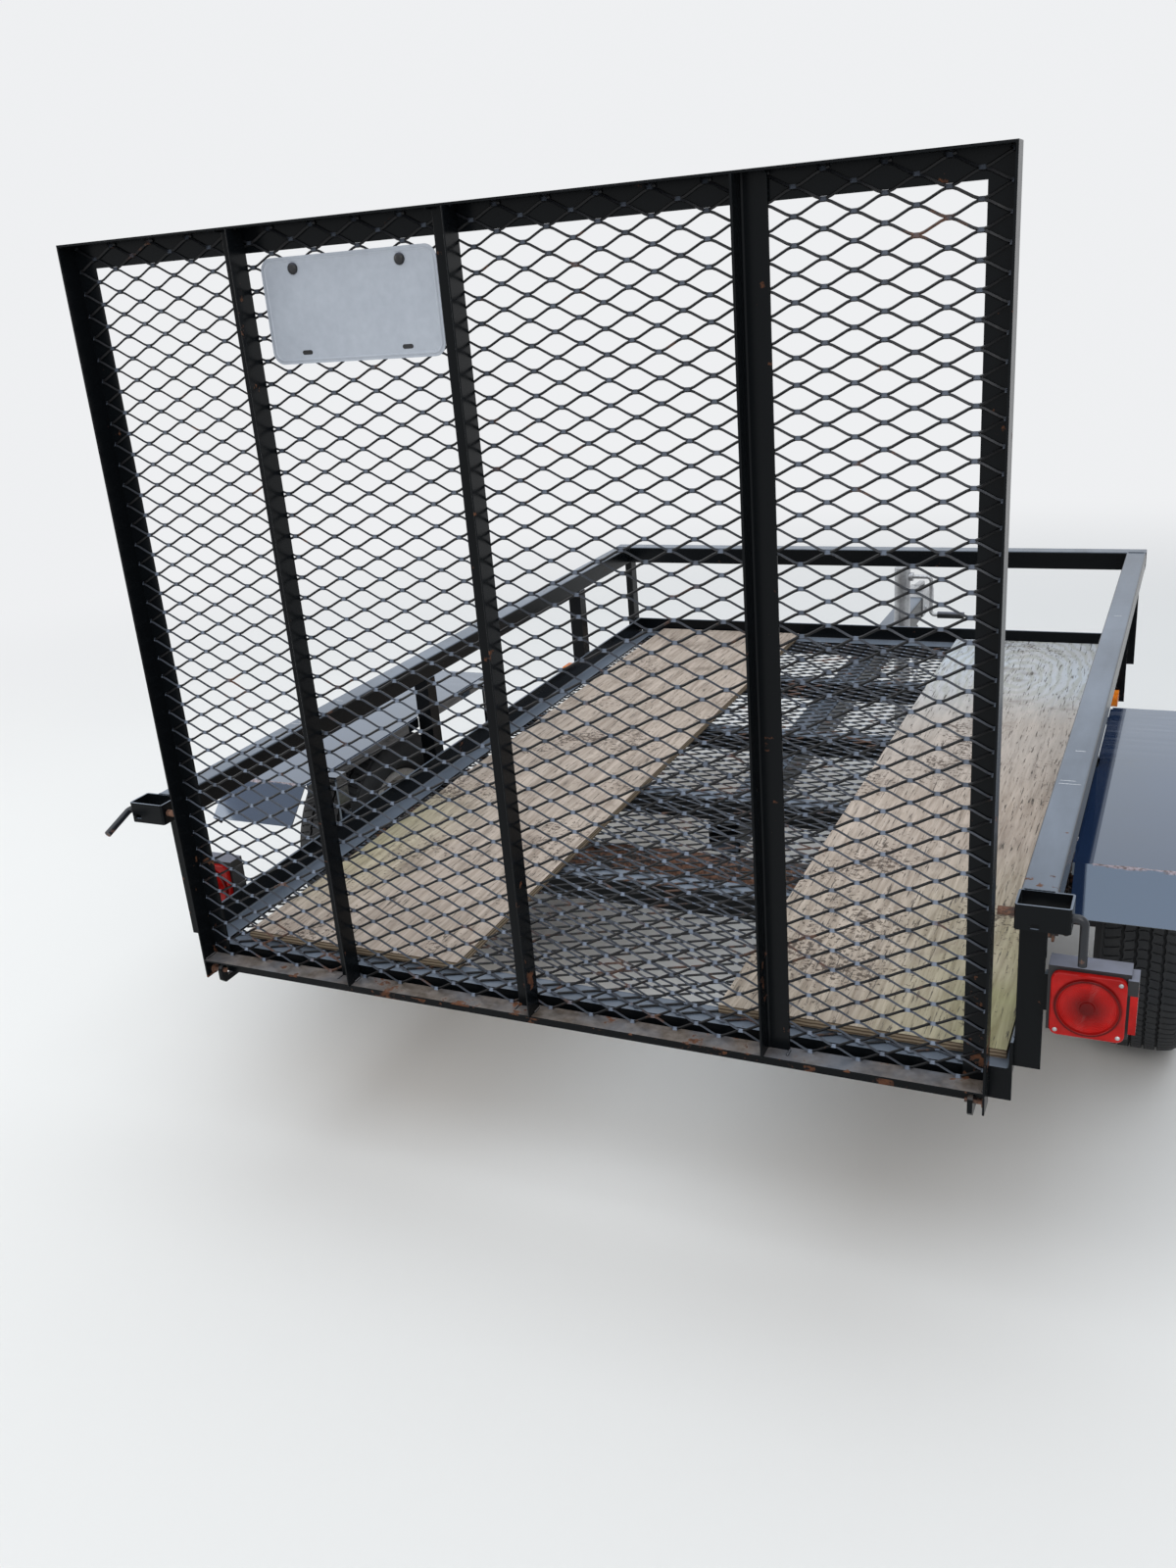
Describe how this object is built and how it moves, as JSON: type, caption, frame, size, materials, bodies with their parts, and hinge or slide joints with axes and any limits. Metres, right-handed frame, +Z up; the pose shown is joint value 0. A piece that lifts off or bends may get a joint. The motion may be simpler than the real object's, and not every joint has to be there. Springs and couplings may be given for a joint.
{
  "type": "utility trailer",
  "caption": "Open single-axle utility trailer with square-tube top rails on angle posts, mesh floor with plywood strips, fenders, swivel jack and a tall expanded-metal ramp gate standing up at the rear.",
  "frame": {"origin": "on the ground under the middle of the bounding box", "axes": "+X to the trailer's right, +Y forward to the coupler, +Z up; metres"},
  "size_m": [2.034, 3.4178, 1.675],
  "materials": {
    "amber_lens": "gloss",
    "bare_steel": "rough",
    "black_paint": "gloss",
    "black_plastic": "matte",
    "blank_plate": "satin",
    "fender_paint": "gloss",
    "mesh_paint": "satin",
    "red_lens": "gloss",
    "rim_paint": "satin",
    "tyre": "matte",
    "weathered_wood": "matte",
    "zinc": "satin"
  },
  "bodies": {
    "trailer": {"axle": "bare_steel", "coupler": "zinc", "coupler_lever": "zinc", "crossmember_front": "black_paint", "crossmember_rear": "black_paint", "deck_board_left": "weathered_wood", "deck_board_right": "weathered_wood", "fender_arms_left": "fender_paint", "fender_arms_right": "fender_paint", "fender_left": "fender_paint", "fender_right": "fender_paint", "floor_crossmembers": "black_paint", "floor_mesh": "mesh_paint", "hinge_ears": "black_paint", "jack_crank": "zinc", "jack_grip": "black_plastic", "jack_leg": "zinc", "jack_mount": "zinc", "jack_tube": "zinc", "lamp_brackets": "black_paint", "latch_bracket_left": "black_paint", "latch_bracket_right": "black_paint", "latch_pin_left": "bare_steel", "latch_pin_right": "bare_steel", "leaf_spring_left": "bare_steel", "leaf_spring_right": "bare_steel", "marker_base_left": "black_plastic", "marker_base_right": "black_plastic", "marker_lens_left": "amber_lens", "marker_lens_right": "amber_lens", "posts_left": "black_paint", "posts_right": "black_paint", "rail_front": "black_paint", "rail_left": "black_paint", "rail_right": "black_paint", "safety_chains": "zinc", "side_reflector_left": "red_lens", "side_reflector_right": "red_lens", "spring_clamps": "bare_steel", "spring_hangers": "bare_steel", "spring_seats": "bare_steel", "tail_lamp_left": "black_plastic", "tail_lamp_right": "black_plastic", "tail_lens_left": "red_lens", "tail_lens_right": "red_lens", "tongue": "black_paint", "top_rail_front": "black_paint", "top_rail_left": "black_paint", "top_rail_right": "black_paint"},
    "wheel_left": {"hub_left": "zinc", "rim_left": "rim_paint", "tyre_left": "tyre"},
    "wheel_right": {"hub_right": "zinc", "rim_right": "rim_paint", "tyre_right": "tyre"},
    "gate": {"gate_bars": "black_paint", "gate_frame": "black_paint", "gate_hinge_pins": "bare_steel", "gate_mesh": "mesh_paint", "licence_plate": "blank_plate"}
  },
  "joints": [
    {"name": "wheel_left_spin", "type": "hinge", "parent": "trailer", "child": "wheel_left", "pos_m": [-0.917, -0.75209, 0.2625], "axis": [1, 0, 0], "continuous": true},
    {"name": "wheel_right_spin", "type": "hinge", "parent": "trailer", "child": "wheel_right", "pos_m": [0.917, -0.75209, 0.2625], "axis": [1, 0, 0], "continuous": true},
    {"name": "gate_hinge", "type": "hinge", "parent": "trailer", "child": "gate", "pos_m": [0, -1.63708, 0.366], "axis": [1, 0, 0], "range_deg": [0, 104.5]}
  ]
}
